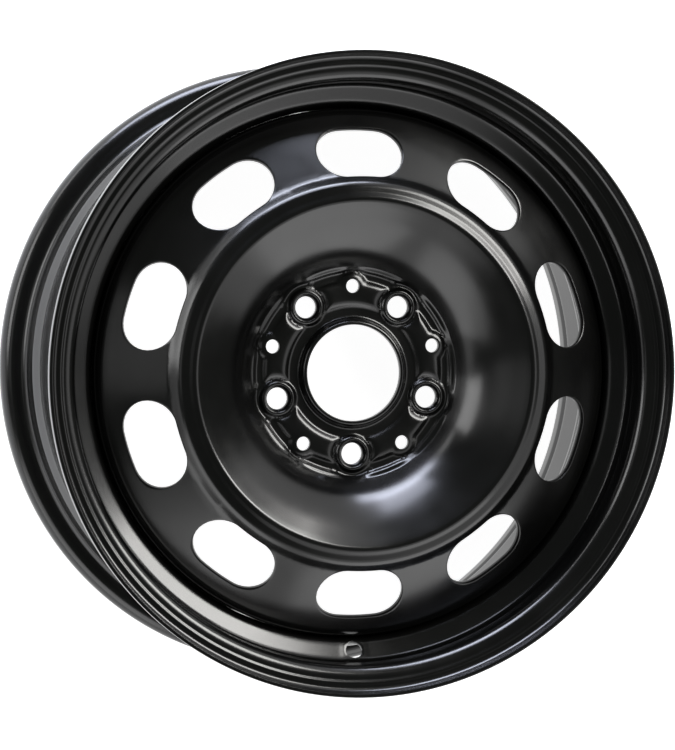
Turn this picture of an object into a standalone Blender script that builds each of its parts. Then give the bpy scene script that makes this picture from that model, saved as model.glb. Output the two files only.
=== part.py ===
"""Pressed steel road wheel: a roll-formed rim with a stamped disc welded into its well.

The wheel lies on the rear lip of the rim, with its axis along +Z and its front face up.
The origin is the centre of the circle that it rests on. Lengths are in metres.
"""
import math

import bmesh
import bpy
from mathutils import Matrix, Vector

MM = 0.001

# Rim, named as wheel makers name it
BEAD_SEAT_DIAMETER = 405.6 * MM      # nominal diameter 16
RIM_WIDTH = 177.8 * MM               # between the two flange faces, nominal width 7
RIM_SHEET = 2.5 * MM
FLANGE_HEIGHT = 17.3 * MM
FLANGE_CURL = 9.5 * MM               # bend radius on the tyre side
LIP_WIDTH = 13.0 * MM                # how far the lip stands outside the flange face
SEAT_CORNER = 6.5 * MM               # bend radius between flange and bead seat
SEAT_TAPER = math.radians(5.0)
FRONT_HUMP_PLACE = 20.5 * MM         # from the front flange face to the hump's crest
REAR_HUMP_PLACE = 22.0 * MM
HUMP_HEIGHT = 1.2 * MM
HUMP_HALF_WIDTH = 5.5 * MM
HUMP_BEND = 4.0 * MM
WELL_DEPTH = 17.3 * MM               # below the bead seat, on the tyre side
WELL_WIDTH = 46.0 * MM
FRONT_RAMP_SLOPE = math.radians(25.0)  # from the plane of the wheel
REAR_RAMP_LENGTH = 26.0 * MM
LEDGE_DEPTH = 4.0 * MM               # of the long rear ledge, below the bead seat
RAMP_CORNER = 5.0 * MM
WELL_CORNER = 7.0 * MM

# Disc
DISC_SHEET = 4.0 * MM
OFFSET = 52.0 * MM                   # from the middle of the rim to the hub face
BORE_DIAMETER = 66.6 * MM
COLLAR_HEIGHT = 5.8 * MM             # of the bore's collar, above the hub's front
COLLAR_BEND = 2.5 * MM
HUB_DIAMETER = 138.0 * MM            # of the flat hub, where the step starts
HUB_STEP = 3.2 * MM                  # from the hub's front up to the bowl's bottom
HUB_STEP_RUN = 3.0 * MM
BOWL_DIAMETER = 155.0 * MM           # where the bowl's wall starts
BOWL_CORNER = 14.0 * MM
CROWN_DIAMETER = 243.0 * MM
CROWN_HEIGHT = 47.0 * MM             # above the hub face
CROWN_BEND = 8.0 * MM
VENT_FACE_DIAMETER = 270.6 * MM      # where the vent face starts
VENT_FACE_HEIGHT = 34.4 * MM         # its height there, above the hub face
VENT_FACE_SLOPE = math.radians(28.0)
SHOULDER_BEND = 11.0 * MM            # between the vent face and the skirt
SKIRT_DEPTH = 25.0 * MM              # the skirt's edge, behind the hub face
FIT_GAP = 0.3 * MM                   # between the skirt and the well

# Five bolt seats with a lip each, and five pads raised off the hub between them
BOLT_COUNT = 5
BOLT_CIRCLE_DIAMETER = 112.0 * MM
BOLT_HOLE_DIAMETER = 15.0 * MM
BOLT_SEAT_DIAMETER = 19.0 * MM
BOLT_SEAT_ANGLE = math.radians(60.0)
LIP_WALL = 1.6 * MM                  # of the lip round a bolt seat, at its top
LIP_DRAFT = 2.4 * MM                 # sideways run of the lip's outer wall
LIP_HEIGHT = 2.9 * MM                # above the hub's front
BOLT_TURN = math.radians(54.0)       # where the first bolt hole stands
PIN_CIRCLE_DIAMETER = 120.0 * MM     # small round holes, one in each pad
PIN_HOLE_DIAMETER = 9.5 * MM
PAD_INNER_DIAMETER = 97.2 * MM
PAD_OUTER_DIAMETER = 121.6 * MM
PAD_HALF_ANGLE = math.radians(21.5)
PAD_END_HOLLOW = math.radians(1.8)   # how far a pad's ends curve in, round the bolt seats
PAD_BULGE = 7.2 * MM                 # of the pad's top round its small hole
PAD_LIFT = 2.8 * MM                  # of the pad's top above the hub's front
PAD_DRAFT = 3.8 * MM                 # sideways run of the pad's sloping wall

# Ten vents
VENT_COUNT = 10
VENT_INNER_DIAMETER = 270.6 * MM
VENT_LAND = 14.2 * MM                # sheet left between a vent and the skirt
VENT_HALF_ANGLE = math.radians(11.5)
VENT_END_ANGLE = math.radians(7.0914)  # of the round end, so that it is half as wide as the vent
VENT_TURN = math.radians(18.0)

# Valve hole with its flat coined pad
VALVE_HOLE_DIAMETER = 11.5 * MM
VALVE_TURN = math.radians(270.0)

# Weld runs behind the disc
WELD_COUNT = 10
WELD_LEG = 4.0 * MM
WELD_FACE = 0.7                      # how full the bead is: 0.5 is a flat face
WELD_HALF_ANGLE = math.radians(9.0)
WELD_GAP = 0.3 * MM

TURN_STEPS = 60                      # facets round the wheel
HOLE_STEPS = 16                      # facets round a small hole
SLOT_END_STEPS = 6                   # facets round a slot's end
PAD_STEPS = 4                        # facets along half of a pad's outer edge
WELD_STEPS = 3                       # facets along a weld run
ARC_STEP = math.radians(45.0)        # largest turn of one facet in a bend
MARGIN = 3.0 * MM                    # by which a cutter passes the sheet

# Worked out from the values above
LENGTH = RIM_WIDTH + 2 * LIP_WIDTH
SEAT_RADIUS = BEAD_SEAT_DIAMETER / 2
FLANGE_RADIUS = SEAT_RADIUS + FLANGE_HEIGHT
WELL_RADIUS = SEAT_RADIUS - WELL_DEPTH
FRONT_FACE = LENGTH - LIP_WIDTH
REAR_FACE = LIP_WIDTH
HUB_FACE = LENGTH / 2 + OFFSET
SKIRT_RADIUS = WELL_RADIUS - RIM_SHEET - FIT_GAP
HUB_FRONT = HUB_FACE + DISC_SHEET
BOWL_FRONT = HUB_FRONT + HUB_STEP
LIP_TOP = HUB_FRONT + LIP_HEIGHT


def clear_scene():
    for item in list(bpy.data.objects):
        bpy.data.objects.remove(item, do_unlink=True)


def new_collection(name):
    group = bpy.data.collections.new(name)
    bpy.context.scene.collection.children.link(group)
    return group


def paint(name, colour, roughness):
    """Black paint for wheels, as a Principled material."""
    material = bpy.data.materials.new(name)
    material.use_nodes = True
    shader = material.node_tree.nodes["Principled BSDF"]
    shader.inputs["Base Color"].default_value = (*colour, 1.0)
    shader.inputs["Roughness"].default_value = roughness
    shader.inputs["Metallic"].default_value = 0.0
    return material


def rounded_path(corners):
    """Turn corners (radius, height, bend radius) into points, each bend a row of short chords."""
    points = []
    last = len(corners) - 1
    for index, (x, z, bend) in enumerate(corners):
        here = Vector((x, z))
        if index in (0, last) or bend == 0.0:
            points.append(here)
            continue
        before = (Vector(corners[index - 1][:2]) - here).normalized()
        after = (Vector(corners[index + 1][:2]) - here).normalized()
        opening = before.angle(after)
        turn = math.pi - opening
        steps = max(1, math.ceil(turn / ARC_STEP))
        middle = (before + after).normalized()
        centre = here + middle * (bend / math.sin(opening / 2))
        start = here + before * (bend / math.tan(opening / 2)) - centre
        way = 1.0 if before.x * after.y - before.y * after.x < 0.0 else -1.0
        for step in range(steps + 1):
            angle = way * turn * step / steps
            spoke = Vector((start.x * math.cos(angle) - start.y * math.sin(angle),
                            start.x * math.sin(angle) + start.y * math.cos(angle)))
            points.append(centre + spoke)
    return points


def turned_shell(name, points, sheet, group):
    """Revolve an open profile about Z and give it the sheet's thickness on its inner side."""
    mesh = bpy.data.meshes.new(name)
    edges = [(i, i + 1) for i in range(len(points) - 1)]
    mesh.from_pydata([(p.x, 0.0, p.y) for p in points], edges, [])
    shell = bpy.data.objects.new(name, mesh)
    group.objects.link(shell)
    screw = shell.modifiers.new("turn", "SCREW")
    screw.axis = "Z"
    screw.steps = TURN_STEPS
    screw.render_steps = TURN_STEPS
    screw.use_merge_vertices = True
    screw.merge_threshold = 0.00001
    wall = shell.modifiers.new("sheet", "SOLIDIFY")
    wall.thickness = sheet
    wall.offset = -1.0
    wall.use_even_offset = True
    return shell


def hump(crest, way):
    """Corners of a safety hump: the ring that keeps the tyre's bead on its seat.

    crest is the hump's height along the axis and way is +1 where the flange lies above it.
    """
    foot = crest + way * HUMP_HALF_WIDTH
    face = FRONT_FACE if way > 0 else REAR_FACE
    foot_radius = SEAT_RADIUS - abs(face - foot) * math.tan(SEAT_TAPER)
    return (foot_radius, foot, 0.0), (foot_radius + HUMP_HEIGHT, crest, HUMP_BEND)


def rim_profile():
    """The tyre side of the rim, from the front lip down to the rear lip."""
    front_foot, front_crest = hump(FRONT_FACE - FRONT_HUMP_PLACE, 1)
    rear_foot, rear_crest = hump(REAR_FACE + REAR_HUMP_PLACE, -1)
    ramp_top = front_crest[1] - HUMP_HALF_WIDTH
    ramp_radius = front_foot[0] - HUMP_HEIGHT
    well_top = ramp_top - (ramp_radius - WELL_RADIUS) * math.tan(FRONT_RAMP_SLOPE)
    well_bottom = well_top - WELL_WIDTH
    ledge_radius = SEAT_RADIUS - LEDGE_DEPTH
    return rounded_path([
        (FLANGE_RADIUS, LENGTH, 0.0),
        (FLANGE_RADIUS, FRONT_FACE, FLANGE_CURL),
        (SEAT_RADIUS, FRONT_FACE, SEAT_CORNER),
        front_foot,
        front_crest,
        (ramp_radius, ramp_top, RAMP_CORNER),
        (WELL_RADIUS, well_top, WELL_CORNER),
        (WELL_RADIUS, well_bottom, 2 * WELL_CORNER),
        (ledge_radius, well_bottom - REAR_RAMP_LENGTH, 2 * RAMP_CORNER),
        (ledge_radius, rear_crest[1] + 2 * HUMP_HALF_WIDTH, 0.0),
        rear_crest,
        rear_foot,
        (SEAT_RADIUS, REAR_FACE, SEAT_CORNER),
        (FLANGE_RADIUS, REAR_FACE, FLANGE_CURL),
        (FLANGE_RADIUS, 0.0, 0.0),
    ]), (ramp_radius, ramp_top), (WELL_RADIUS, well_top)


def disc_profile():
    """The front of the disc, from its bore out over the crown and down the skirt."""
    collar = BORE_DIAMETER / 2 + DISC_SHEET
    hub = HUB_DIAMETER / 2
    bowl = BOWL_DIAMETER / 2
    crown = CROWN_DIAMETER / 2
    vent_face = VENT_FACE_DIAMETER / 2
    top = HUB_FACE + CROWN_HEIGHT
    face_top = HUB_FACE + VENT_FACE_HEIGHT
    rise = math.atan2(top - BOWL_FRONT, crown - bowl)
    fall = math.atan2(top - face_top, vent_face - crown)
    peak = top + CROWN_BEND * (1 / math.cos((rise + fall) / 2) - 1)
    shoulder = face_top - (SKIRT_RADIUS - vent_face) * math.tan(VENT_FACE_SLOPE)
    return rounded_path([
        (collar, HUB_FRONT + COLLAR_HEIGHT, 0.0),
        (collar, HUB_FRONT, COLLAR_BEND),
        (hub, HUB_FRONT, 0.0),
        (hub + HUB_STEP_RUN, BOWL_FRONT, 0.0),
        (bowl, BOWL_FRONT, BOWL_CORNER),
        (crown, peak, CROWN_BEND),
        (vent_face, face_top, 2 * CROWN_BEND),
        (SKIRT_RADIUS, shoulder, SHOULDER_BEND),
        (SKIRT_RADIUS, HUB_FACE - SKIRT_DEPTH, 0.0),
    ])


def prism(bm, lower, upper):
    """Close two outlines with as many points each into one solid, both seen counterclockwise."""
    bottom = [bm.verts.new(p) for p in lower]
    top = [bm.verts.new(p) for p in upper]
    bm.faces.new(reversed(bottom))
    bm.faces.new(top)
    count = len(bottom)
    for i in range(count):
        j = (i + 1) % count
        bm.faces.new((bottom[i], bottom[j], top[j], top[i]))


def lathe(bm, profile, place):
    """A closed solid turned about the Z of place, from (radius, height) rows, bottom to top."""
    rings = []
    for radius, height in profile:
        ring = []
        for step in range(HOLE_STEPS):
            angle = 2 * math.pi * step / HOLE_STEPS
            spot = Vector((radius * math.cos(angle), radius * math.sin(angle), height))
            ring.append(bm.verts.new(place @ spot))
        rings.append(ring)
    bm.faces.new(reversed(rings[0]))
    bm.faces.new(rings[-1])
    for lower, upper in zip(rings, rings[1:]):
        for i in range(HOLE_STEPS):
            j = (i + 1) % HOLE_STEPS
            bm.faces.new((lower[i], lower[j], upper[j], upper[i]))


def tool(name, bm, group):
    """A hidden object that cuts or joins another."""
    bmesh.ops.triangulate(bm, faces=bm.faces[:])
    mesh = bpy.data.meshes.new(name)
    bm.to_mesh(mesh)
    bm.free()
    item = bpy.data.objects.new(name, mesh)
    item.hide_render = True
    item.display_type = "WIRE"
    group.objects.link(item)
    return item


def around(count, first, radius, height):
    """Places on a circle about the axis, each turned to look outwards along its own X."""
    for index in range(count):
        yield (Matrix.Rotation(first + 2 * math.pi * index / count, 4, "Z")
               @ Matrix.Translation((radius, 0.0, height)))


def pad_outline(spread, height):
    """The pad's outline, grown sideways by spread, about +X, seen counterclockwise from above."""
    inner = PAD_INNER_DIAMETER / 2 - spread
    outer = PAD_OUTER_DIAMETER / 2 + spread
    bulge = PAD_BULGE + spread
    hole = PIN_CIRCLE_DIAMETER / 2
    spots = []
    outer_half = PAD_HALF_ANGLE + spread / outer
    for step in range(-PAD_STEPS, PAD_STEPS + 1):
        angle = outer_half * step / PAD_STEPS
        reach = bulge ** 2 - (hole * math.sin(angle)) ** 2
        radius = outer
        if reach > 0.0:
            radius = max(outer, hole * math.cos(angle) + math.sqrt(reach))
        spots.append((radius, angle))
    middle = (inner + outer) / 2
    end = (middle, PAD_HALF_ANGLE - PAD_END_HOLLOW + spread / middle)
    inner_half = PAD_HALF_ANGLE + spread / inner
    spots.append(end)
    spots.extend((inner, inner_half * step / 2) for step in range(2, -3, -1))
    spots.append((end[0], -end[1]))
    return [Vector((radius * math.cos(angle), radius * math.sin(angle), height)) for radius, angle in spots]


def pad_solids(name, low, high, group):
    """Five tapered solids between two heights; each height comes with its outline's spread."""
    bm = bmesh.new()
    for index in range(BOLT_COUNT):
        angle = BOLT_TURN + math.pi / BOLT_COUNT + 2 * math.pi * index / BOLT_COUNT
        spin = Matrix.Rotation(angle, 4, "Z")
        lower = [spin @ p for p in pad_outline(*low)]
        upper = [spin @ p for p in pad_outline(*high)]
        prism(bm, lower, upper)
    return tool(name, bm, group)


def vent_solid(bm, turn):
    """A slot with round ends, curved about the axis and punched square to the vent face."""
    inner = VENT_INNER_DIAMETER / 2
    outer = SKIRT_RADIUS - VENT_LAND
    middle = (inner + outer) / 2
    half_height = (outer - inner) / 2
    end_angle = VENT_HALF_ANGLE - VENT_END_ANGLE
    face_top = HUB_FACE + VENT_FACE_HEIGHT
    start = VENT_FACE_DIAMETER / 2
    ring = []
    for side in (1, -1):
        for step in range(SLOT_END_STEPS + 1):
            angle = side * (math.pi / 2 - math.pi * step / SLOT_END_STEPS)
            radius = middle + half_height * math.sin(angle)
            sweep = side * (end_angle + VENT_END_ANGLE * math.cos(angle))
            height = face_top - (radius - start) * math.tan(VENT_FACE_SLOPE)
            ring.append(Vector((radius * math.cos(sweep), radius * math.sin(sweep), height)))
    out = Vector((math.sin(VENT_FACE_SLOPE), 0.0, math.cos(VENT_FACE_SLOPE)))
    level = Vector((middle, 0.0, face_top - (middle - start) * math.tan(VENT_FACE_SLOPE))).dot(out)
    spin = Matrix.Rotation(turn, 4, "Z")
    lower = [spin @ (p + out * (level - 3 * DISC_SHEET - p.dot(out))) for p in ring]
    upper = [spin @ (p + out * (level + 3 * DISC_SHEET - p.dot(out))) for p in ring]
    prism(bm, lower, upper)


def add_boolean(item, name, operation, other):
    step = item.modifiers.new(name, "BOOLEAN")
    step.operation = operation
    step.solver = "EXACT"
    step.object = other


def make_rim(group, cutters, material):
    points, ramp, well = rim_profile()
    rim = turned_shell("rim", points, RIM_SHEET, group)
    rim.data.materials.append(material)
    middle = Vector(((ramp[0] + well[0]) / 2, 0.0, (ramp[1] + well[1]) / 2))
    square = (Matrix.Translation(middle)
              @ Matrix.Rotation(-FRONT_RAMP_SLOPE, 4, "Y"))
    place = Matrix.Rotation(VALVE_TURN, 4, "Z") @ square
    bm = bmesh.new()
    reach = RIM_SHEET + MARGIN
    lathe(bm, [(VALVE_HOLE_DIAMETER / 2, -reach), (VALVE_HOLE_DIAMETER / 2, reach + RIM_SHEET)], place)
    add_boolean(rim, "valve hole", "DIFFERENCE", tool("valve_hole_cutter", bm, cutters))
    return rim


def make_disc(group, cutters, material):
    disc = turned_shell("wheel_disc", disc_profile(), DISC_SHEET, group)
    disc.data.materials.append(material)

    core = HUB_FRONT - DISC_SHEET / 2
    slope = PAD_DRAFT / PAD_LIFT
    pads = pad_solids("raised_pads", (PAD_DRAFT + slope * DISC_SHEET / 2, core),
                      (0.0, HUB_FRONT + PAD_LIFT), cutters)
    add_boolean(disc, "pads pressed forward", "UNION", pads)

    seat = BOLT_SEAT_DIAMETER / 2
    lip = seat + LIP_WALL
    bm = bmesh.new()
    for place in around(BOLT_COUNT, BOLT_TURN, BOLT_CIRCLE_DIAMETER / 2, 0.0):
        lathe(bm, [(lip + LIP_DRAFT, core), (lip + LIP_DRAFT, HUB_FRONT), (lip, LIP_TOP)], place)
    add_boolean(disc, "lips round the bolt seats", "UNION", tool("seat_lips", bm, cutters))

    wall = DISC_SHEET * math.tan(math.atan2(PAD_LIFT, PAD_DRAFT) / 2)
    hollow = pad_solids("pad_backs", (PAD_DRAFT - wall + slope * MARGIN, HUB_FACE - MARGIN),
                        (-wall, HUB_FACE + PAD_LIFT), cutters)
    add_boolean(disc, "backs of the pads", "DIFFERENCE", hollow)

    throat = BOLT_HOLE_DIAMETER / 2
    cone = math.tan(BOLT_SEAT_ANGLE / 2)
    bm = bmesh.new()
    for place in around(BOLT_COUNT, BOLT_TURN, BOLT_CIRCLE_DIAMETER / 2, 0.0):
        lathe(bm, [(throat, HUB_FACE - MARGIN), (throat, LIP_TOP - (seat - throat) / cone),
                   (seat + MARGIN * cone, LIP_TOP + MARGIN)], place)
    pins = around(BOLT_COUNT, BOLT_TURN + math.pi / BOLT_COUNT, PIN_CIRCLE_DIAMETER / 2, 0.0)
    for place in pins:
        radius = PIN_HOLE_DIAMETER / 2
        lathe(bm, [(radius, HUB_FACE - MARGIN), (radius, LIP_TOP + MARGIN)], place)
    for index in range(VENT_COUNT):
        vent_solid(bm, VENT_TURN + 2 * math.pi * index / VENT_COUNT)
    add_boolean(disc, "holes", "DIFFERENCE", tool("hole_cutters", bm, cutters))
    return disc


def make_welds(group, material):
    """Fillet runs in the corner between the skirt's edge and the well."""
    wall = WELL_RADIUS - RIM_SHEET - WELD_GAP
    edge = HUB_FACE - SKIRT_DEPTH - WELD_GAP
    section = [(wall, edge), (wall - WELD_LEG, edge),
               (wall - WELD_LEG * WELD_FACE, edge - WELD_LEG * WELD_FACE), (wall, edge - WELD_LEG)]
    for index in range(WELD_COUNT):
        middle = VENT_TURN + 2 * math.pi * index / WELD_COUNT
        bm = bmesh.new()
        rows = []
        for step in range(WELD_STEPS + 1):
            angle = middle + WELD_HALF_ANGLE * (2 * step / WELD_STEPS - 1)
            rows.append([bm.verts.new((r * math.cos(angle), r * math.sin(angle), z)) for r, z in section])
        bm.faces.new(rows[0])
        bm.faces.new(reversed(rows[-1]))
        for here, there in zip(rows, rows[1:]):
            for i in range(len(section)):
                j = (i + 1) % len(section)
                bm.faces.new((here[j], here[i], there[i], there[j]))
        bmesh.ops.recalc_face_normals(bm, faces=bm.faces[:])
        name = f"weld_run_{index + 1:02d}"
        mesh = bpy.data.meshes.new(name)
        bm.to_mesh(mesh)
        bm.free()
        mesh.materials.append(material)
        group.objects.link(bpy.data.objects.new(name, mesh))


def main():
    clear_scene()
    parts = new_collection("steel_wheel")
    cutters = new_collection("cutters")
    rim_paint = paint("black_paint_on_rim", (0.012, 0.012, 0.012), 0.35)
    disc_paint = paint("black_paint_on_disc", (0.012, 0.012, 0.012), 0.35)
    weld_paint = paint("black_paint_on_welds", (0.01, 0.01, 0.01), 0.5)
    make_rim(parts, cutters, rim_paint)
    make_disc(parts, cutters, disc_paint)
    make_welds(parts, weld_paint)


main()
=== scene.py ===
# %% [markdown]
# # A black pressed-steel road wheel
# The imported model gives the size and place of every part: a rim, a disc and ten weld runs. This lesson
# gives the three of them their looks. The wheel lies on its rear lip, its axis is +Z and its front face is
# up. The valve hole is at -Y, which is the bottom of the picture.

import math

import bpy
import numpy as np
from mathutils import Matrix, Vector


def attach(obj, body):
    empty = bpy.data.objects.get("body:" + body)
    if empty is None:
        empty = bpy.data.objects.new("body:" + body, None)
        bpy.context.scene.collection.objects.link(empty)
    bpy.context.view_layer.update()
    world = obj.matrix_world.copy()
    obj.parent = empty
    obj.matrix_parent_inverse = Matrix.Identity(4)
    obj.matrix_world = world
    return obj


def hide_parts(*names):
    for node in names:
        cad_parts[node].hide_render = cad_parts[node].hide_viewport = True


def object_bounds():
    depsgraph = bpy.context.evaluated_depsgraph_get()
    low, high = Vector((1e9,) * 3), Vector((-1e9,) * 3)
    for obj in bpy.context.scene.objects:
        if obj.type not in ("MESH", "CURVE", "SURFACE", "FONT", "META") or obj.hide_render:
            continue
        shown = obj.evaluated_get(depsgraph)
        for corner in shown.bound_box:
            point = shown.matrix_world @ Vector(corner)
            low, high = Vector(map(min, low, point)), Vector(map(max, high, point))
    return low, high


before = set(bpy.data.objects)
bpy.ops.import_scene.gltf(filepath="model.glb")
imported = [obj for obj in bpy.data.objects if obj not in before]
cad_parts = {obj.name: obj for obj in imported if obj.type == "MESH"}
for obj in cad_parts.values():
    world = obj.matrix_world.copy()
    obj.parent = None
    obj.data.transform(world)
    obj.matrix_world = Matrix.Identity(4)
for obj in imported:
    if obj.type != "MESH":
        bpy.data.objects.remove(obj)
CAD_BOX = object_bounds()
print("CAD box in mm:", [[round(1000 * x, 1) for x in corner] for corner in CAD_BOX])

# %% [markdown]
# ## The sizes
# A wheel maker draws both pressings as a section line with bend radii. The values are in millimetres and
# degrees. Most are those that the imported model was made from. The bowl, the crown and the curl of the front
# lip follow the photograph a little closer.

# %% Sizes of the rim, in the words of wheel makers
MM = 0.001
RIM_SHEET = 2.5
SEAT_RADIUS = 202.8                  # bead seat, nominal diameter 16
FLANGE_RADIUS = 220.1
WELL_RADIUS = 185.5
FRONT_LIP, FRONT_FACE = 203.8, 190.8
REAR_LIP, REAR_FACE = 0.0, 13.0
HUB_FACE = 153.9

# %% Sizes of the disc
DISC_SHEET = 4.0
BORE_RADIUS = 33.3
HUB_FRONT = HUB_FACE + DISC_SHEET
BOWL_RADIUS, BOWL_FRONT = 72.9, 161.1  # where the bowl starts to rise
SKIRT_RADIUS = 182.7
SKIRT_EDGE = 128.9
BOLT_CIRCLE, BOLT_TURN = 56.0, 54.0
PIN_CIRCLE, PIN_TURN = 60.0, 90.0
VENT_INNER, VENT_OUTER = 135.3, 168.5
VENT_COUNT, VENT_HALF_ANGLE, VENT_TURN, VENT_SLOPE = 10, 11.5, 18.0, 28.0
print(f"rim edge / bolt circle = {FLANGE_RADIUS / BOLT_CIRCLE:.2f}")


# %% [markdown]
# ## A section line with round bends
# Sheet metal never has a sharp bend. A section could be drawn as a curve by hand, but a maker gives corners
# with a bend radius each, so every corner here becomes a short arc of points. The line is then measured
# along its length, and a surface can ask for the point and for the direction square to it at any distance.

# %% Section lines
def bent_line(corners, arc_step=6.0, straight_step=4.0):
    """Points along a line of (radius, height, bend radius) corners.

    A bend's centre lies on the line that halves the corner, at bend radius / sin(half the corner).
    """
    points = []
    for k, (r, z, bend) in enumerate(corners):
        here = np.array((r, z))
        if bend == 0.0 or k in (0, len(corners) - 1):
            arc = here[None]
        else:
            before = np.array(corners[k - 1][:2]) - here
            after = np.array(corners[k + 1][:2]) - here
            before, after = before / np.hypot(*before), after / np.hypot(*after)
            half = math.acos(float(before @ after)) / 2
            middle = (before + after) / np.hypot(*(before + after))
            centre = here + middle * bend / math.sin(half)
            turn = math.pi / 2 - half
            t = np.linspace(-turn, turn, 2 + int(math.degrees(2 * turn) / arc_step))[:, None]
            side = (after - before) / np.hypot(*(after - before))
            arc = centre + bend * (side * np.sin(t) - middle * np.cos(t))
        if points:
            gap = np.hypot(*(arc[0] - points[-1][-1]))
            count = int(gap / straight_step)
            t = np.arange(1, count + 1)[:, None] / (count + 1)
            points.append(points[-1][-1] * (1 - t) + arc[0] * t)
        points.append(arc)
    line = np.concatenate(points)
    keep = np.append(True, np.hypot(*np.diff(line, axis=0).T) > 1e-6)
    return line[keep]


def measured(line):
    """Distance along the line at each point, and the unit direction square to it, to its left."""
    steps = np.diff(line, axis=0)
    length = np.append(0.0, np.cumsum(np.hypot(*steps.T)))
    along = np.gradient(line, length, axis=0)
    along /= np.hypot(*along.T)[:, None]
    return length, np.stack((-along[:, 1], along[:, 0]), axis=1)


def ramp(t, softness=0.12):
    """0 below 0, 1 above 1 and a straight slope between, with both corners rounded by softness."""
    return 0.5 * (1 + np.sqrt(t * t + softness ** 2) - np.sqrt((t - 1) ** 2 + softness ** 2))


# %% [markdown]
# ## Sheets with holes
# Each pressing is one sheet with holes punched in it. The holes could be cut with booleans, but those leave
# ragged faces that spoil a gloss. So a grid of rows and columns carries each face of the sheet, and where a
# hole is, a window is left out of the grid and filled by rings from the window's edge to the hole's
# outline. The two faces have the same layout, so a wall between matching rings closes every hole and edge.

# %% Grids, windows and walls
QUARTER = (0.29, 1.0)                # depths of an edge's rounding, as shares of its radius


class Sheet:
    """Collects (along, turn) points of one layout and the faces between them."""

    def __init__(self):
        self.spots, self.faces, self.corners, self.count = [], [], [], 0

    def add(self, along, turn):
        """New points; returns their numbers in the shape of the arrays."""
        along, turn = np.broadcast_arrays(along, turn)
        self.spots.append(np.stack((along.ravel(), turn.ravel()), axis=1))
        numbers = self.count + np.arange(along.size).reshape(along.shape)
        self.count += along.size
        return numbers

    def quads(self, a, b, c, d):
        self.faces.append(np.stack([np.ravel(x) for x in (a, b, c, d)], axis=1))

    def triangles(self, a, b, c):
        self.corners.append(np.stack([np.ravel(x) for x in (a, b, c)], axis=1))

    def strip(self, lower, upper):
        """Faces between two closed rings with equally many points."""
        self.quads(lower, np.roll(lower, -1), np.roll(upper, -1), upper)

    def grid(self, numbers, windows=()):
        """Faces of a grid that closes on itself sideways, without the cells of the windows."""
        rows, columns = numbers.shape
        keep = np.ones((rows - 1, columns), bool)
        for row_0, row_1, column_0, column_1 in windows:
            keep[row_0:row_1, np.arange(column_0, column_1) % columns] = False
        right = np.roll(numbers, -1, axis=1)
        self.quads(*(x[keep] for x in (numbers[:-1], right[:-1], right[1:], numbers[1:])))

    def edge_of(self, numbers, window):
        """The window's edge, anticlockwise as seen with the turn to the right and along upwards."""
        row_0, row_1, column_0, column_1 = window
        columns = np.arange(column_0, column_1 + 1) % numbers.shape[1]
        rows = np.arange(row_0, row_1 + 1)
        return np.concatenate((numbers[row_0, columns], numbers[rows[1:], columns[-1]],
                               numbers[row_1, columns[-2::-1]], numbers[rows[-2:0:-1], columns[0]]))

    def places(self):
        return np.concatenate(self.spots)


# %% A closed mesh from a layout
def built(name, sheet, front, back, walls, material, node):
    """A closed mesh from a layout, its two faces and the walls between them.

    front and back turn (along, turn) rows into points. walls lists closed rings with their rounding radius:
    a wall leaves the front face, turns through a quarter circle and runs straight to the back face.
    """
    spots = sheet.places()
    upper, lower = front(spots), back(spots)
    faces = np.concatenate(sheet.faces)
    corners = np.concatenate(sheet.corners + [np.zeros((0, 3), int)])
    corners = np.concatenate((corners[:, ::-1], corners + sheet.count))
    verts = [upper, lower]
    total = [faces[:, ::-1], faces + sheet.count]
    count = 2 * sheet.count
    for ring, outward, rounding in walls:
        top, bottom = upper[ring], lower[ring]
        down = bottom - top
        deep = np.linalg.norm(down, axis=1, keepdims=True)
        down = down / deep
        rows = [ring]
        for share, end, way in ([(share, top, 1) for share in QUARTER]
                                + [(share, bottom, -1) for share in QUARTER[::-1]]):
            away = outward * rounding * math.sin(math.acos(1 - share))
            verts.append(end + way * down * rounding * share + away)
            rows.append(count + np.arange(len(ring)))
            count += len(ring)
        rows.append(ring + sheet.count)
        for here, there in zip(rows, rows[1:]):
            total.append(np.stack((here, there, np.roll(there, -1), np.roll(here, -1)), axis=1))
    verts, faces = np.concatenate(verts) * MM, np.concatenate(total)
    used, numbers = np.unique(np.append(faces, corners), return_inverse=True)
    verts = verts[used]
    faces, corners = numbers[:faces.size].reshape(-1, 4), numbers[faces.size:].reshape(-1, 3)
    mesh = bpy.data.meshes.new(name)
    mesh.from_pydata(verts, [], faces.tolist() + corners.tolist())
    assert not mesh.validate(), name
    mesh.shade_smooth()
    mesh.materials.append(material)
    piece = bpy.data.objects.new(name, mesh)
    bpy.context.scene.collection.objects.link(piece)
    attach(piece, "root")
    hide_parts(node)
    all_corners = np.concatenate((faces[:, :3], faces[:, [0, 2, 3]], corners))
    a, b, c = (verts[all_corners[:, k]] for k in range(3))
    volume = np.einsum("ij,ij->", a, np.cross(b, c)) / 6
    print(f"{name}: {len(all_corners)} triangles, {volume * 1e6:.0f} cubic cm (more than 0: faces look out)")
    return piece


def wheel_points(radius, turn, height):
    """Points on circles about the axis, the turn in degrees."""
    angle = np.radians(turn)
    return np.stack((radius * np.cos(angle), radius * np.sin(angle), height), axis=-1)


# %% [markdown]
# ## Black paint
# Steel wheels are dipped in black primer, which an electric current draws onto every face, and baked. Many
# get a satin top coat. It is a smooth film with a faint orange-peel ripple about a millimetre wide. A flat
# black with one roughness would look like plastic. So it is a dielectric over near-black colour, with slow
# noise in colour and roughness and the ripple as a bump: almost all that the eye sees is the reflection,
# and its softness comes from the roughness.

# %% Colours and nodes
def linear(code):
    """A linear colour from an sRGB hex value."""
    values = np.array([int(code[k:k + 2], 16) / 255 for k in (1, 3, 5)])
    values = np.where(values <= 0.04045, values / 12.92, ((values + 0.055) / 1.055) ** 2.4)
    return (*values, 1.0)


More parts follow.
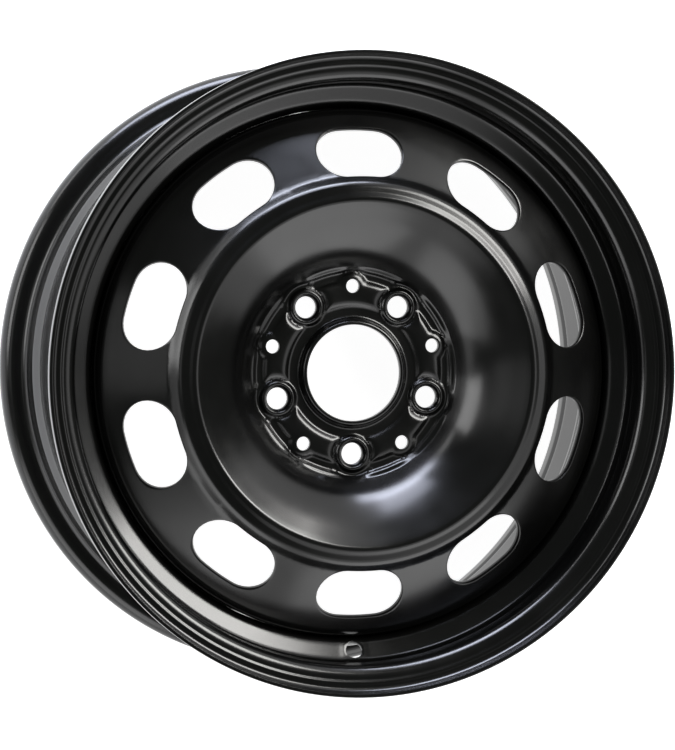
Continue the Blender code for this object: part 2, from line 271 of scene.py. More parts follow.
def add_node(material, kind, settings=(), inputs=()):
    """Add a node with its settings, and with values or links on its inputs."""
    node = material.node_tree.nodes.new(kind)
    for key, value in dict(settings).items():
        setattr(node, key, value)
    for key, value in dict(inputs).items():
        socket = node.inputs[key]
        if isinstance(value, bpy.types.NodeSocket):
            material.node_tree.links.new(value, socket)
        else:
            socket.default_value = value
    return node


# %% The paint
def black_paint(name, dark, light, smooth, rough, peel):
    """Baked black paint: colour and roughness drift with slow noise, orange peel makes the bump.

    The ripple's size is 1.1 mm, so the noise scale is 1 / 0.0011 per metre. Runs and uneven film drift
    over about 45 mm.
    """
    material = bpy.data.materials.new(name)
    material.use_nodes = True
    material.node_tree.nodes.clear()
    place = add_node(material, "ShaderNodeTexCoord").outputs["Object"]
    drift = add_node(material, "ShaderNodeTexNoise", inputs={
        "Vector": place, "Scale": 1 / 0.045, "Detail": 3.0, "Roughness": 0.55}).outputs["Fac"]
    peel_noise = add_node(material, "ShaderNodeTexNoise", inputs={
        "Vector": place, "Scale": 1 / 0.0011, "Detail": 1.0, "Roughness": 0.4}).outputs["Fac"]
    tone = add_node(material, "ShaderNodeMix", {"data_type": "RGBA"}, {
        "Factor": drift, "A": linear(dark), "B": linear(light)})
    gloss = add_node(material, "ShaderNodeMapRange", inputs={
        "Value": drift, "From Min": 0.3, "From Max": 0.7, "To Min": smooth, "To Max": rough})
    bump = add_node(material, "ShaderNodeBump", inputs={
        "Height": peel_noise, "Distance": 0.000004, "Strength": peel})
    shader = add_node(material, "ShaderNodeBsdfPrincipled", inputs={
        "Base Color": tone.outputs["Result"], "Roughness": gloss.outputs["Result"],
        "Normal": bump.outputs["Normal"], "IOR": 1.56, "Metallic": 0.0})
    add_node(material, "ShaderNodeOutputMaterial", inputs={"Surface": shader.outputs["BSDF"]})
    return material


RIM_PAINT = black_paint("baked_satin_black_on_rolled_steel", "#050505", "#0A0A09", 0.16, 0.22, 0.6)
DISC_PAINT = black_paint("baked_satin_black_on_pressed_steel", "#050505", "#0A0A09", 0.16, 0.24, 0.6)
WELD_PAINT = black_paint("baked_black_over_a_weld_bead", "#070707", "#0C0C0C", 0.34, 0.44, 1.0)
print("paints:", [paint.name for paint in (RIM_PAINT, DISC_PAINT, WELD_PAINT)])

# %% [markdown]
# ## The rim
# A flat strip is rolled between shaped rollers until it has the flanges, bead seats, safety humps and the
# deep well. A turned profile with a Solidify modifier would do, but not with the valve hole. So its section
# is one line on the tyre's side with 2.5 mm of steel behind it. The lips end in the strip's cut edge. The
# valve hole is punched square to the ramp in front of the well, inside a small land that is pressed flat
# first.

# %% The rim's section
TAPER = math.tan(math.radians(5.0))
RIM_CORNERS = [
    (FLANGE_RADIUS, FRONT_LIP, 0.0), (FLANGE_RADIUS, FRONT_FACE, 7.5), (SEAT_RADIUS, FRONT_FACE, 6.5),
    (SEAT_RADIUS - 15.0 * TAPER, 175.8, 3.0), (SEAT_RADIUS - 15.0 * TAPER + 1.2, 170.3, 4.0),
    (200.3, 164.8, 8.0), (WELL_RADIUS, 157.9, 7.0), (WELL_RADIUS, 111.9, 14.0),
    (198.8, 85.9, 10.0), (198.8, 46.0, 3.0), (SEAT_RADIUS - 16.5 * TAPER + 1.2, 35.0, 4.0),
    (SEAT_RADIUS - 16.5 * TAPER, 29.5, 3.0), (SEAT_RADIUS, REAR_FACE, 6.5),
    (FLANGE_RADIUS, REAR_FACE, 9.5), (FLANGE_RADIUS, REAR_LIP, 0.0)]
rim_line = bent_line(RIM_CORNERS, arc_step=9.0, straight_step=3.5)
rim_length, rim_left = measured(rim_line)

# The rollers leave a faint step half way up the front flange, of about 1.1 mm. It fades out to both sides.
FLANGE_STEP_PLACE, FLANGE_STEP_HALF, FLANGE_STEP_FADE = 20.0, 0.62, 5.0
finer = np.union1d(rim_length, np.arange(FLANGE_STEP_PLACE - 2.0, FLANGE_STEP_PLACE + 2.1, 0.35))
rim_line = np.stack([np.interp(finer, rim_length, rim_line[:, k]) for k in (0, 1)], axis=1)
rim_length, rim_left = measured(rim_line)
print(f"The rim's strip is {rim_length[-1]:.0f} mm wide before rolling, {len(rim_line)} rows")

# %% The valve hole's land
VALVE_TURN, VALVE_RADIUS, VALVE_CIRCLE = 270.0, 5.75, 192.9
LAND_LONG, LAND_WIDE, LAND_DEEP, LAND_EDGE = 9.0, 7.4, 0.18, 1.6
on_ramp = (rim_line[:, 1] > 155) & (rim_line[:, 1] < 167) & (rim_line[:, 0] < 201)
valve_along = float(np.interp(-VALVE_CIRCLE, -rim_line[on_ramp, 0], rim_length[on_ramp]))
valve_scale = np.array((1.0, math.pi / 180 * VALVE_CIRCLE))   # millimetres along, and of one degree
print(f"the valve hole is {valve_along:.1f} mm along the strip from the front lip")


def rim_face(spots, depth):
    """The section turned about the axis, and moved square to itself by depth, the land and the step.

    The land is 1 inside its rectangle and falls off as a hyperbolic tangent. The step is a hyperbolic
    tangent of the distance past its place, times a bell curve that fades it out.
    """
    along, turn = spots.T
    r, z = (np.interp(along, rim_length, rim_line[:, k]) for k in (0, 1))
    n_r, n_z = (np.interp(along, rim_length, rim_left[:, k]) for k in (0, 1))
    across = (turn - VALVE_TURN) * valve_scale[1]
    beyond = np.maximum(np.abs(across) - LAND_LONG, np.abs(along - valve_along) - LAND_WIDE)
    pressed = LAND_DEEP * 0.5 * (1 - np.tanh(beyond / LAND_EDGE))
    past = along - FLANGE_STEP_PLACE
    step = FLANGE_STEP_HALF * np.tanh(past) * np.exp(-(past / FLANGE_STEP_FADE) ** 2)
    depth = depth + pressed + step
    return wheel_points(r + depth * n_r, turn, z + depth * n_z)


# %% The rim's mesh
COLUMNS, LIP_ROUND = 288, 0.35
WINDOW_ROWS, WINDOW_HALF_COLUMNS = 12, 3       # the valve hole's window, with rows at even steps
rim = Sheet()
first, last = (int(np.searchsorted(rim_length, valve_along + reach)) for reach in (-7.6, 7.4))
span = np.linspace(rim_length[first], rim_length[last], WINDOW_ROWS + 1)
rim_rows = np.concatenate((rim_length[:first], span, rim_length[last + 1:]))
rim_rows[[0, -1]] = LIP_ROUND, rim_length[-1] - LIP_ROUND
rim_numbers = rim.add(rim_rows[:, None], np.arange(COLUMNS) * 360 / COLUMNS)
valve_column = round(COLUMNS * VALVE_TURN / 360)
valve_window = (first, first + WINDOW_ROWS, valve_column - WINDOW_HALF_COLUMNS,
                valve_column + WINDOW_HALF_COLUMNS)
rim.grid(rim_numbers, [valve_window])


# %% The valve hole's rings
def round_hole(sheet, ring, centre, radius, scale, steps):
    """Rings from a window's edge to a round outline: each point moves straight to the outline.

    centre is (along, turn) and scale is the millimetres of one unit of each.
    """
    edge = (sheet.places()[ring] - centre) * scale
    way = edge / np.hypot(*edge.T)[:, None]
    for t in np.linspace(0, 1, steps + 1)[1:]:
        row = centre + (edge * (1 - t) + way * radius * t) / scale
        fresh = sheet.add(row[:, 0], row[:, 1])
        sheet.strip(ring, fresh)
        ring = fresh
    return ring


VALVE_ROUND = 0.4
valve_middle = np.array((valve_along, VALVE_TURN))
valve_ring = round_hole(rim, rim.edge_of(rim_numbers, valve_window), valve_middle,
                        VALVE_RADIUS + VALVE_ROUND, valve_scale, 5)
rim_spots = rim.places()[valve_ring]
half_way = valve_middle + (rim_spots - valve_middle) * 0.5
hole_way = rim_face(half_way, 0.0) - rim_face(rim_spots, 0.0)
hole_way /= np.linalg.norm(hole_way, axis=1, keepdims=True)
lip_way = np.array((0.0, 0.0, 1.0))
wheel_rim = built(
    "wheel_rim_shell", rim, lambda s: rim_face(s, 0.0), lambda s: rim_face(s, -RIM_SHEET),
    [(valve_ring, hole_way, VALVE_ROUND), (rim_numbers[0][::-1], lip_way, LIP_ROUND),
     (rim_numbers[-1], -lip_way, LIP_ROUND)],
    RIM_PAINT, "rim")

# %% [markdown]
# ## The disc
# The disc is stamped from one 4 mm blank in several strokes: the bowl and crown are drawn, the hub is set
# back in its middle, the bore is flanged forward into a collar, five lips rise round the bolt seats and
# five pads between them, and the vents are punched last, square to their sloping face. Its section is
# turned like the rim's, and only the hub needs more than a section.

# %% The disc's section
DISC_CORNERS = [
    (BORE_RADIUS, BOWL_FRONT, 0.0), (BOWL_RADIUS, BOWL_FRONT, 2.0),
    (83.0, 173.4, 60.0), (96.5, 184.3, 105.0),                        # the bowl's wall bells out
    (119.4, 197.6, 5.0), (124.0, 195.55, 6.0), (129.6, 194.56, 9.0),  # the crown, a roll and a faint ledge
    (136.2, 187.8, 12.0), (SKIRT_RADIUS, 163.1, 11.0), (SKIRT_RADIUS, SKIRT_EDGE, 0.0)]
disc_line = bent_line(DISC_CORNERS, arc_step=5.0, straight_step=4.5)
disc_length, disc_left = measured(disc_line)
HUB_BLEND, HUB_EDGE = 72.0, 76.5     # the hub's relief is worked out over the plane out to its edge
hub_along = float(np.interp(HUB_EDGE, disc_line[:, 0], disc_length))
print(f"The disc's section is {disc_length[-1]:.0f} mm long, the hub's part {hub_along:.1f} mm, "
      f"the crown {disc_line[:, 1].max():.1f} mm high")


def radius_at(radius):
    """Distance along the section at which it has this radius, for the part in front of the skirt."""
    return np.interp(radius, disc_line[:, 0], disc_length)



# %% [markdown]
# ### The hub's relief
# The front of the hub could be sculpted or cut from solids, but its forms flow into each other. So it is a
# height over the plane, and each form is a distance put through a rounded ramp: the collar round the bore,
# the pads with their bulge round the small hole, the lip and cone of each bolt seat, and the step up to the
# bowl. The pads stiffen the hub. A soft maximum or minimum of two distances leaves the fillet that a press
# leaves.

# %% Heights of the hub
COLLAR_RADIUS, COLLAR_RUN, COLLAR_LIFT = 35.9, 2.6, 5.8
PAD_INNER, PAD_OUTER, PAD_BULGE, PAD_TO_BOLT = 48.6, 60.8, 7.2, 16.4
PAD_LIFT, PAD_RUN = 2.8, 3.6
LIP_RADIUS, LIP_RUN, LIP_LIFT = 11.1, 2.4, 2.9
SEAT_TOP, SEAT_THROAT = 9.5, 7.5
CONE = math.tan(math.radians(60.0))  # rise of the seat's cone, which is 60 degrees wide
THROAT_HEIGHT = HUB_FRONT + LIP_LIFT - (SEAT_TOP - SEAT_THROAT) * CONE
SEAT_REACH = 14.0                    # the cone is looked for out to here from a bolt's middle
STEP_RADIUS, STEP_TO_BOLT, STEP_TO_PIN, STEP_RUN = 70.7, 17.4, 11.7, 2.3


def circle_of(radius, turn):
    """Five centres at equal turns on a circle."""
    angle = np.radians(turn + 72.0 * np.arange(5))
    return radius * np.stack((np.cos(angle), np.sin(angle)), axis=1)


def nearest(x, y, centres):
    """Distance to the nearest of the centres."""
    return np.min([np.hypot(x - c[0], y - c[1]) for c in centres], axis=0)


def soft_max(a, b, width):
    """The larger of two, with the corner between them rounded over width."""
    return 0.5 * (a + b + np.sqrt((a - b) ** 2 + width ** 2))


def soft_min(a, b, width):
    """The smaller of two, rounded in the same way: what the larger leaves of their sum."""
    return a + b - soft_max(a, b, width)


BOLTS, PINS = circle_of(BOLT_CIRCLE, BOLT_TURN), circle_of(PIN_CIRCLE, PIN_TURN)
print(f"a bolt seat's throat is {THROAT_HEIGHT - HUB_FACE:.2f} mm above the hub face")


# %% The hub's front
def hub_front(x, y):
    """Height of the hub's front.

    It is the hub's level, plus the fourth root of the summed fourth powers of the forms that rise from it,
    blended into the bowl by the step, and cut by the cones of the bolt seats.
    """
    r = np.hypot(x, y)
    bolt, pin = nearest(x, y, BOLTS), nearest(x, y, PINS)
    collar = COLLAR_LIFT * (1 - ramp((r - COLLAR_RADIUS) / COLLAR_RUN, 0.2))
    edge = soft_min(r - PAD_OUTER, pin - PAD_BULGE, 1.5)
    edge = soft_max(soft_max(PAD_INNER - r, edge, 0.8), PAD_TO_BOLT - bolt, 0.8) / PAD_RUN
    pad = PAD_LIFT * (1 - soft_min(soft_max(edge, 0.0, 0.5), 1.0, 0.1))
    lip = LIP_LIFT * (1 - ramp((bolt - LIP_RADIUS) / LIP_RUN, 0.2))
    raised = (collar ** 4 + pad ** 4 + lip ** 4) ** 0.25
    step = soft_min(soft_min(r - STEP_RADIUS, bolt - STEP_TO_BOLT, 2.0), pin - STEP_TO_PIN, 2.0)
    step = ramp(1 + step / STEP_RUN, 0.12)
    bowl = np.interp(r, disc_line[:, 0], disc_line[:, 1])
    height = HUB_FRONT + raised * (1 - step) + (bowl - HUB_FRONT) * step
    cone = THROAT_HEIGHT + (np.maximum(bolt, SEAT_THROAT) - SEAT_THROAT) * CONE
    return np.where(bolt < SEAT_REACH, soft_min(height, cone, 0.5), height)


# %% [markdown]
# ### The hub's back
# Steel nearly keeps its thickness when it is pressed. Moving each point square to the front would cross
# itself in the narrow grooves. So the back is what a ball leaves whose radius is the sheet's thickness, as
# it rolls along the front: at each spot, the lowest of the front's height less the ball's own height there.
# The press flattens what would stand behind the hub's plane.

# %% Heights of the back, on a square table
CELL = 0.5
axis = np.arange(-88.0, 88.0 + CELL / 2, CELL)
table_x, table_y = np.meshgrid(axis, axis, indexing="ij")
table_front = hub_front(table_x, table_y)
table_back = table_front - DISC_SHEET
reach = int(DISC_SHEET / CELL)
for step_x in range(-reach, reach + 1):
    for step_y in range(-reach, reach + 1):
        rest = DISC_SHEET ** 2 - (step_x ** 2 + step_y ** 2) * CELL ** 2
        if rest > 0:
            shifted = np.roll(table_front, (step_x, step_y), axis=(0, 1)) - math.sqrt(rest)
            table_back = np.minimum(table_back, shifted)
table_back = np.maximum(table_back, HUB_FACE)
flat = (table_back < HUB_FACE + 0.1).sum() * CELL ** 2
print(f"{flat / 100:.0f} square cm of the hub's back are flat, within 0.1 mm")


# %% Both faces of the disc
def hub_back(x, y):
    """The table's height between its cells."""
    u, v = (x - axis[0]) / CELL, (y - axis[0]) / CELL
    i, j = np.clip(u.astype(int), 0, len(axis) - 2), np.clip(v.astype(int), 0, len(axis) - 2)
    u, v = u - i, v - j
    return ((1 - u) * (1 - v) * table_back[i, j] + u * (1 - v) * table_back[i + 1, j]
            + (1 - u) * v * table_back[i, j + 1] + u * v * table_back[i + 1, j + 1])


def disc_front(spots):
    """The section turned about the axis, with the hub's relief inside its edge."""
    along, turn = spots.T
    r, z = (np.interp(along, disc_length, disc_line[:, k]) for k in (0, 1))
    points = wheel_points(r, turn, z)
    hub = along < hub_along
    points[hub, 2] = hub_front(points[hub, 0], points[hub, 1])
    return points


def disc_back(spots):
    """The front moved square to itself by the sheet's thickness, and the hub's table inside its edge.

    The sideways part of that move grows from none at HUB_BLEND to all of it at the hub's edge.
    """
    along, turn = spots.T
    r, z = (np.interp(along, disc_length, disc_line[:, k]) for k in (0, 1))
    n_r, n_z = (np.interp(along, disc_length, disc_left[:, k]) for k in (0, 1))
    share = np.where(along < hub_along, ramp((r - HUB_BLEND) / (HUB_EDGE - HUB_BLEND), 0.0), 1.0)
    points = wheel_points(r - share * DISC_SHEET * n_r, turn, z - DISC_SHEET * n_z)
    hub = along < hub_along
    points[hub, 2] = hub_back(points[hub, 0], points[hub, 1])
    return points


# %% [markdown]
# ### The disc's mesh
# The hub's small forms need a column every three quarters of a degree. Further out half as many are enough,
# so one ring of triangles joins two columns to one. Each bolt seat, small hole and vent gets its own
# window.

# %% Rows and columns
FINE, COARSE = 480, 240
disc = Sheet()
BORE_ROUND, SKIRT_ROUND = 0.6, 0.5
hub_rows = np.append(np.arange(BORE_RADIUS + BORE_ROUND, 72.6, 0.86), (73.3, 74.0, 74.7, 75.6))
hub_rows = np.interp(hub_rows, disc_line[:, 0], disc_length)
fine_turn = np.arange(FINE) * 360 / FINE
hub_numbers = disc.add(hub_rows[:, None], fine_turn)
outer_rows = np.append(hub_along, disc_length[disc_length > hub_along + 1.0])
outer_rows[-1] -= SKIRT_ROUND
outer_numbers = disc.add(outer_rows[:, None], np.arange(COARSE) * 360 / COARSE)
left, middle = hub_numbers[-1].reshape(COARSE, 2).T
outer = outer_numbers[0]
disc.triangles(left, middle, outer)
disc.triangles(middle, np.roll(outer, -1), outer)
disc.triangles(middle, np.roll(left, -1), np.roll(outer, -1))
print(f"hub: {len(hub_rows)} rows of {FINE}, beyond: {len(outer_rows)} rows of {COARSE}")


# %% Windows of the hub
def window_at(rows, centre, half_rows, column, half_columns):
    """Rows and columns round a hole, as first and last numbers."""
    return (int(np.searchsorted(rows, centre - half_rows)), int(np.searchsorted(rows, centre + half_rows)),
            column - half_columns, column + half_columns)


bolt_columns, pin_columns = (round(FINE * turn / 360) + FINE // 5 * np.arange(5)
                             for turn in (BOLT_TURN, PIN_TURN))
bolt_windows = [window_at(hub_rows, radius_at(BOLT_CIRCLE), 12.6, column, 17) for column in bolt_columns]
pin_windows = [window_at(hub_rows, radius_at(PIN_CIRCLE), 6.2, column, 8) for column in pin_columns]
disc.grid(hub_numbers, bolt_windows + pin_windows)
walls = []


# %% Rings of the bolt seats and small holes
def plane_hole(window, centre, radii, start):
    """Rings from a window's edge to circles about centre, worked out over the plane.

    start lists how far the first rings are on the straight way to the first circle.
    """
    ring = disc.edge_of(hub_numbers, window)
    edge = disc_front(disc.places()[ring])[:, :2] - centre
    way = edge / np.hypot(*edge.T)[:, None]
    rows = [edge * (1 - t) + way * radii[0] * t for t in start]
    for row in rows + [way * radius for radius in radii]:
        x, y = (row + centre).T
        fresh = disc.add(radius_at(np.hypot(x, y)), np.degrees(np.arctan2(y, x)))
        disc.strip(ring, fresh)
        ring = fresh
    return ring, np.append(-way, np.zeros((len(way), 1)), axis=1)


BOLT_RINGS, BOLT_ROUND = (12.0, 11.3, 10.8, 10.3, 9.9, 9.5, 9.1, 8.5, 7.8), 0.3
PIN_RINGS, PIN_ROUND = (5.6, 5.0), 0.25
for k in range(5):
    ring, way = plane_hole(bolt_windows[k], BOLTS[k], BOLT_RINGS, (0.35, 0.7))
    walls.append((ring, way, BOLT_ROUND))
    ring, way = plane_hole(pin_windows[k], PINS[k], PIN_RINGS, (0.5,))
    walls.append((ring, way, PIN_ROUND))

# %% Windows of the vents
vent_middle = (VENT_INNER + VENT_OUTER) / 2
vent_half = (VENT_OUTER - VENT_INNER) / 2
stretch = math.cos(math.radians(VENT_SLOPE))
vent_unit = np.array((1.0, math.pi / 180 * vent_middle * stretch))   # mm of radius and of one degree
vent_straight = VENT_HALF_ANGLE * vent_unit[1] - vent_half
vent_rows = [int(np.searchsorted(outer_rows, radius_at(radius))) for radius in (131.5, 171.8)]
vent_columns = round(COARSE * VENT_TURN / 360) + COARSE // VENT_COUNT * np.arange(VENT_COUNT)
vent_windows = [(*vent_rows, column - 9, column + 9) for column in vent_columns]
disc.grid(outer_numbers, vent_windows)
VENT_ROUND = 0.45
print(f"a vent is {2 * (vent_straight + vent_half):.1f} mm long")


# %% Rings of the vents
def slot_reach(way):
    """Distance from a slot's middle to its outline along unit directions (across, along the slot).

    It is the straight side where the direction meets that first, and otherwise the end's half circle.
    """
    across, along = np.abs(way.T)
    flat = vent_half / np.maximum(across, 1e-9)
    middle = vent_straight * along
    return np.where(flat * along < vent_straight, flat,
                    middle + np.sqrt(np.maximum(middle ** 2 - vent_straight ** 2 + vent_half ** 2, 0)))


for k, window in enumerate(vent_windows):
    ring = disc.edge_of(outer_numbers, window)
    places = disc.places()[ring]
    vent_turn = VENT_TURN + 360.0 / VENT_COUNT * k
    turn = (places[:, 1] - vent_turn + 180.0) % 360.0 - 180.0
    radius = np.interp(places[:, 0], disc_length, disc_line[:, 0])
    edge = np.stack((radius - vent_middle, turn), axis=1) * vent_unit
    way = edge / np.hypot(*edge.T)[:, None]
    goal = way * (slot_reach(way) + VENT_ROUND)[:, None]
    for t in (0.3, 0.55, 0.75, 0.9, 1.0):
        row = (edge * (1 - t) + goal * t) / vent_unit
        fresh = disc.add(radius_at(vent_middle + row[:, 0]), vent_turn + row[:, 1])
        disc.strip(ring, fresh)
        ring = fresh
    here = disc_front(disc.places()[ring])
    middle = here.mean(axis=0)
    down = disc_back(disc.places()[ring]) - here
    down /= np.linalg.norm(down, axis=1, keepdims=True)
    around = np.roll(here, -1, axis=0) - np.roll(here, 1, axis=0)
    inward = np.cross(down, around)
    inward /= np.linalg.norm(inward, axis=1, keepdims=True)
    inward *= np.sign(np.einsum("ij,ij->i", inward, middle - here))[:, None]
    walls.append((ring, inward, VENT_ROUND))

# %% Close the bore and the skirt
bore_way = -wheel_points(np.ones(FINE), fine_turn, np.zeros(FINE))
walls.append((hub_numbers[0][::-1], bore_way[::-1], BORE_ROUND))
walls.append((outer_numbers[-1], np.array((0.0, 0.0, -1.0)), SKIRT_ROUND))
wheel_disc = built("wheel_disc_pressing", disc, disc_front, disc_back, walls,
                   DISC_PAINT, "wheel_disc")

# %% [markdown]
# ## The weld runs
# A torch lays a fillet run behind the skirt at each of ten places. A run is a row of frozen ripples, each a
# thin scale over the last one. A bump map could draw them, but would leave the outline smooth. So a rounded
# section is carried along an arc, and it swells and shrinks with every ripple and closes at both ends.

# %% Weld beads
WELD_LEG, WELD_HALF_ANGLE, RIPPLE, WELD_BULGE = 4.0, 9.0, 1.7, 0.86
WELD_CLEAR = 0.15                    # keeps the bead's faces off the two sheets
weld_wall, weld_top = WELL_RADIUS - RIM_SHEET - WELD_CLEAR, SKIRT_EDGE - WELD_CLEAR


def weld_points(turn_middle, steps=110, sides=14):
    """Section: the corner, both legs and a bulging face between them; its size follows the ripples."""
    t = np.linspace(-1, 1, steps)[:, None]
    arc = (t * WELD_HALF_ANGLE * math.pi / 180) * weld_wall
    size = np.sqrt(np.clip(1 - np.abs(t) ** 14, 0.02, 1))
    saw = (arc / RIPPLE) % 1.0
    size = size * (0.95 + 0.06 * np.abs(np.sin(math.pi * saw)) ** 0.6)
    face = np.linspace(0, math.pi / 2, sides)
    inward = np.append(0.0, WELD_LEG * np.cos(face) ** WELD_BULGE)
    down = np.append(0.0, WELD_LEG * np.sin(face) ** WELD_BULGE)
    turn = turn_middle + t * WELD_HALF_ANGLE + 0 * inward
    return wheel_points(weld_wall - inward * size, turn, weld_top - down * size)


for k in range(VENT_COUNT):
    points = weld_points(VENT_TURN + 360.0 / VENT_COUNT * k)
    steps, around_count = points.shape[:2]
    numbers = np.arange(steps * around_count).reshape(steps, around_count)
    nxt = np.roll(numbers, -1, axis=1)
    faces = np.stack([x.ravel() for x in (numbers[:-1], numbers[1:], nxt[1:], nxt[:-1])], axis=1).tolist()
    faces += [numbers[0].tolist(), numbers[-1][::-1].tolist()]
    name = f"weld_bead_{k + 1:02d}"
    mesh = bpy.data.meshes.new(name)
    mesh.from_pydata(points.reshape(-1, 3) * MM, [], faces)
    mesh.shade_smooth()
    mesh.materials.append(WELD_PAINT)
    bead = bpy.data.objects.new(name, mesh)
    bpy.context.scene.collection.objects.link(bead)
    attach(bead, "root")
    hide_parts(f"weld_run_{k + 1:02d}")
print("ten weld beads of", len(mesh.polygons), "faces")

# %% [markdown]
# ## Edges that stay crisp
# Smooth shading would smear light over punched edges. A bevel would need many more faces, and the edges
# have their own small rounding already. So edges that turn by more than 40 degrees are shaded as sharp.

# %% Sharp edges
for piece in (wheel_rim, wheel_disc):
    piece.data.set_sharp_from_angle(angle=math.radians(40.0))
    print(piece.name, "is shaded smooth, but for edges of more than 40 degrees")

# %% [markdown]
# ## Floor, camera and light
# The wheel lies on a white floor. More light would make the floor white, but would wash out the paint. So
# the floor glows for the camera and for reflections only, and keeps a faint shadow of the wheel. The
# camera's place was worked out from the rim's edges and the bolt holes in the photograph: it looks down on
# the front face from 15 degrees to the left.

# %% Floor
def any_of(material, *flags):
    """The largest of several 0 to 1 values."""
    result = flags[0]
    for flag in flags[1:]:
        larger = add_node(material, "ShaderNodeMath", {"operation": "MAXIMUM"}, {0: result, 1: flag})
        result = larger.outputs[0]
    return result


floor_mesh = bpy.data.meshes.new("studio_floor")
HALF = 6.0
floor_mesh.from_pydata([(-HALF, -HALF, 0), (HALF, -HALF, 0), (HALF, HALF, 0), (-HALF, HALF, 0)],
                       [], [(0, 1, 2, 3)])
floor = bpy.data.objects.new("studio_floor", floor_mesh)
bpy.context.scene.collection.objects.link(floor)
floor.location.z = CAD_BOX[0].z - 0.0005
white = bpy.data.materials.new("white_paper_floor")
white.use_nodes = True
white.node_tree.nodes.clear()
path = add_node(white, "ShaderNodeLightPath")
seen = any_of(white, *(path.outputs[f"Is {kind} Ray"] for kind in ("Camera", "Transmission", "Glossy")))
paper = add_node(white, "ShaderNodeBsdfDiffuse", inputs={"Color": linear("#D8D8D8")})
glow = add_node(white, "ShaderNodeEmission", inputs={"Color": (1, 1, 1, 1), "Strength": 0.96})
none = add_node(white, "ShaderNodeEmission", inputs={"Color": (0, 0, 0, 1), "Strength": 0.0})
lit = add_node(white, "ShaderNodeMixShader", inputs={0: seen, 1: none.outputs[0], 2: glow.outputs[0]})
both = add_node(white, "ShaderNodeAddShader", inputs={0: paper.outputs[0], 1: lit.outputs[0]})
add_node(white, "ShaderNodeOutputMaterial", inputs={"Surface": both.outputs[0]})
floor_mesh.materials.append(white)
print(f"floor of {2 * HALF:.0f} m at {floor.location.z * 1000:.1f} mm")

# %% [markdown]
# ### The room
# The room is white all round, as far up as a backdrop goes, and dark above that, where the photographer
# stands. An even white room would turn black paint grey, because the paint mirrors it: the white gives the
# grey bands and the dark keeps the bowl black. The dark lies about the direction to the upper left, two
# thirds of the way up, and two black flags stand at the right and at the top left.

# %% World
def toward(azimuth, elevation):
    """Unit direction from two angles in degrees, the azimuth from +X and the elevation from the floor."""
    a, e = math.radians(azimuth), math.radians(elevation)
    return math.cos(e) * math.cos(a), math.cos(e) * math.sin(a), math.sin(e)


world = bpy.data.worlds.new("studio")
bpy.context.scene.world = world
world.use_nodes = True
world.node_tree.nodes.clear()
outlook = add_node(world, "ShaderNodeTexCoord").outputs["Generated"]


def dark_patch(towards, half_angle, blur):
    """1 within half_angle of a direction and 0 beyond blur more, both in degrees."""
    near = add_node(world, "ShaderNodeVectorMath", {"operation": "DOT_PRODUCT"}, {0: outlook, 1: towards})
    full, none = (math.cos(math.radians(half_angle + extra)) for extra in (0.0, blur))
    return add_node(world, "ShaderNodeMapRange", {"interpolation_type": "SMOOTHSTEP"}, {
        "Value": near.outputs["Value"], "From Min": none, "From Max": full}).outputs["Result"]


dark_part = any_of(world, dark_patch(toward(150, 65), 47, 14), dark_patch(toward(2, 10), 17, 9),
                   dark_patch(toward(126, 24), 8, 7))
path = add_node(world, "ShaderNodeLightPath")
mirrored = any_of(world, path.outputs["Is Glossy Ray"], path.outputs["Is Transmission Ray"])
surround = add_node(world, "ShaderNodeBackground", inputs={"Color": linear("#8A9096"), "Strength": 0.25})
page = add_node(world, "ShaderNodeBackground", inputs={"Color": (1, 1, 1, 1), "Strength": 1.0})
ceiling = add_node(world, "ShaderNodeBackground", inputs={"Color": linear("#50524F"), "Strength": 1.0})
room = add_node(world, "ShaderNodeMixShader", inputs={
    0: dark_part, 1: page.outputs[0], 2: ceiling.outputs[0]})
lit = add_node(world, "ShaderNodeMixShader", inputs={
    0: mirrored, 1: surround.outputs[0], 2: room.outputs[0]})
choice = add_node(world, "ShaderNodeMixShader", inputs={
    0: path.outputs["Is Camera Ray"], 1: lit.outputs[0], 2: page.outputs[0]})
add_node(world, "ShaderNodeOutputWorld", inputs={"Surface": choice.outputs[0]})
print("the room has", len(world.node_tree.nodes), "nodes")

# %% Camera
PICTURE_WIDE, PICTURE_HIGH, FILM_HIGH = 675, 750, 36.0
SHRINK = 0.93333                     # millimetres of the wheel per unit of the camera fit
AZIMUTH, ELEVATION = math.radians(-15.016), math.radians(1.857)
DISTANCE, FOCAL_PIXELS, SHIFT_X, SHIFT_Y = 2505.5 * SHRINK, 3377.15, -10.139 * SHRINK, -1.815 * SHRINK
back = Vector((math.sin(AZIMUTH) * math.cos(ELEVATION), -math.cos(AZIMUTH) * math.cos(ELEVATION),
               math.sin(ELEVATION)))
right = (-back).cross(Vector((0, 0, 1))).normalized()
up = right.cross(-back)
lay_down = Matrix(((1, 0, 0), (0, 0, 1), (0, -1, 0)))   # from a standing wheel to one on its back
camera_data = bpy.data.cameras.new("studio_camera")
camera = bpy.data.objects.new("studio_camera", camera_data)
bpy.context.scene.collection.objects.link(camera)
spot = lay_down @ (back * DISTANCE + right * SHIFT_X + up * SHIFT_Y) * MM + Vector((0, 0, 0.1556))
turned = Matrix((lay_down @ right, lay_down @ up, lay_down @ back)).transposed()
camera.matrix_world = Matrix.Translation(spot) @ turned.to_4x4()
camera_data.sensor_fit = "VERTICAL"
camera_data.sensor_height = FILM_HIGH
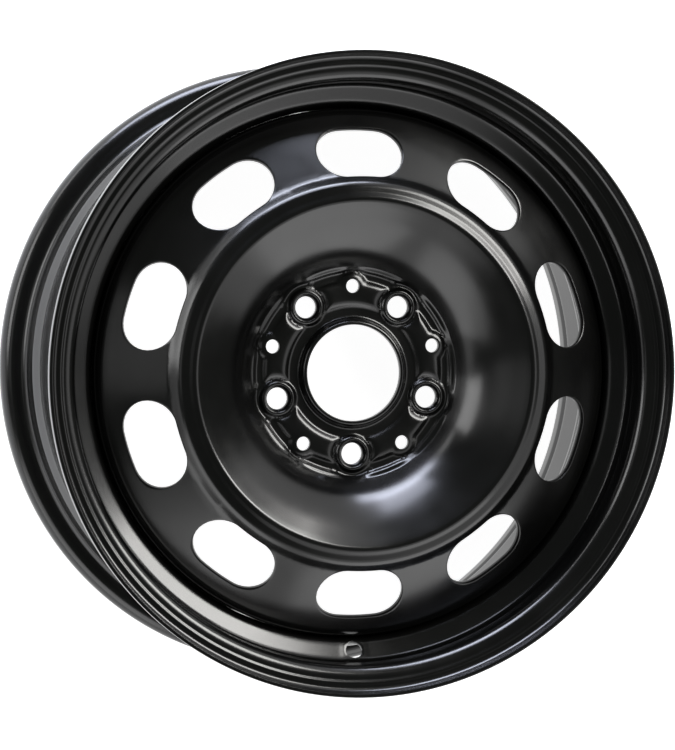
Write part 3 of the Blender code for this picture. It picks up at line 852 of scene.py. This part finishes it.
camera_data.sensor_width = FILM_HIGH * PICTURE_WIDE / PICTURE_HIGH
camera_data.lens = FOCAL_PIXELS / PICTURE_HIGH * FILM_HIGH
camera_data.clip_end = 50.0
bpy.context.scene.camera = camera
print("camera at", [round(x, 3) for x in spot], "lens", round(camera_data.lens, 1))

# %% [markdown]
# ### The lamps
# A photographer lights black gloss by what it mirrors, so each lamp is a large softbox placed where the
# paint shows its image: one at the upper right for the hub and the ramp, a row along the top for the glow
# in the bowl, one at the left, and two long walls of light below. Their colours are close to white.

# %% Lights
def softbox(name, way, distance, width, height, power, tint="#FFFFFF"):
    """A rectangular lamp in a direction from the wheel's middle, facing it."""
    lamp = bpy.data.lights.new(name, "AREA")
    lamp.shape = "RECTANGLE"
    lamp.size, lamp.size_y = width, height
    lamp.energy = power
    lamp.color = linear(tint)[:3]
    box = bpy.data.objects.new(name, lamp)
    bpy.context.scene.collection.objects.link(box)
    way = Vector(way).normalized()
    box.location = Vector((0, 0, 0.17)) + way * distance
    box.rotation_mode = "QUATERNION"
    box.rotation_quaternion = way.to_track_quat("Z", "Y")
    return box


softbox("softbox_upper_right", toward(36, 41), 2.2, 1.15, 0.85, 38.0, "#FFFEFA")
softbox("softbox_top", toward(97, 9), 2.0, 1.7, 0.65, 46.0, "#E6ECFF")
softbox("softbox_top_end", toward(133, 5), 2.0, 0.7, 0.5, 3.0)
softbox("softbox_top_upper", toward(96, 22), 2.0, 0.95, 0.6, 15.0, "#E6ECFF")
softbox("softbox_left", toward(162, 20), 2.0, 1.1, 0.7, 10.5)
softbox("softbox_high_left", toward(172, 46), 2.2, 0.9, 0.5, 0.8)
softbox("wall_lower_left", toward(230, 21), 2.4, 2.2, 1.6, 15.0)
softbox("wall_lower_right", toward(298, 21), 2.4, 2.2, 1.4, 15.0)
print("lamps:", ", ".join(f"{lamp.name} {lamp.energy:g} W" for lamp in bpy.data.lights))

bpy.context.scene.view_settings.view_transform = "Standard"
